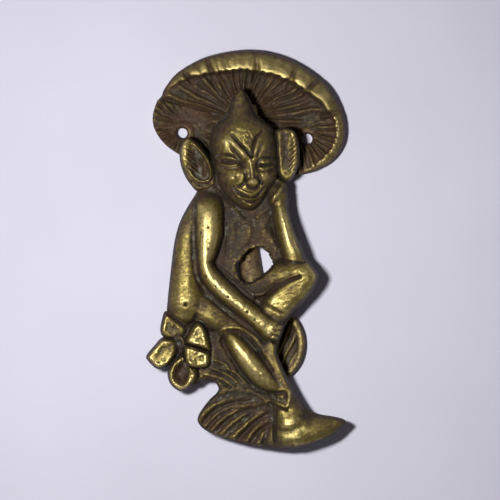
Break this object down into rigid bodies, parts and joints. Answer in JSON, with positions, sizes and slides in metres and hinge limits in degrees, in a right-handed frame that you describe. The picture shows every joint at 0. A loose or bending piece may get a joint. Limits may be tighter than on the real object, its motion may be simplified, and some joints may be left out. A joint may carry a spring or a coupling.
{
  "type": "door knocker",
  "caption": "Cast brass door knocker: a seated pixie figure hinged on a mushroom backplate, its foot striking the round base of the stem.",
  "frame": {"origin": "on the flat back face of the backplate, midway between the two screw holes", "axes": "+Z out of the door towards the caller, +Y up the door towards the mushroom's cap, +X to the right"},
  "size_m": [0.0591, 0.1132, 0.0203],
  "materials": {
    "dark_patinated_brass": "cast brass with brown patina in the gills, rubbed bright on the rim",
    "polished_worn_brass": "cast brass, worn bright on the high places, olive-brown patina in the hollows",
    "drawn_brass": "drawn brass pin, dulled"
  },
  "bodies": {
    "backplate": {"backplate": "dark_patinated_brass", "hinge_pin": "drawn_brass"},
    "knocker": {"knocker": "polished_worn_brass"}
  },
  "joints": [
    {"name": "knocker_swing", "type": "hinge", "parent": "backplate", "child": "knocker", "pos_m": [-0.0011, 0.0065, 0.0065], "axis": [-1, 0, 0], "range_deg": [0, 55]}
  ]
}
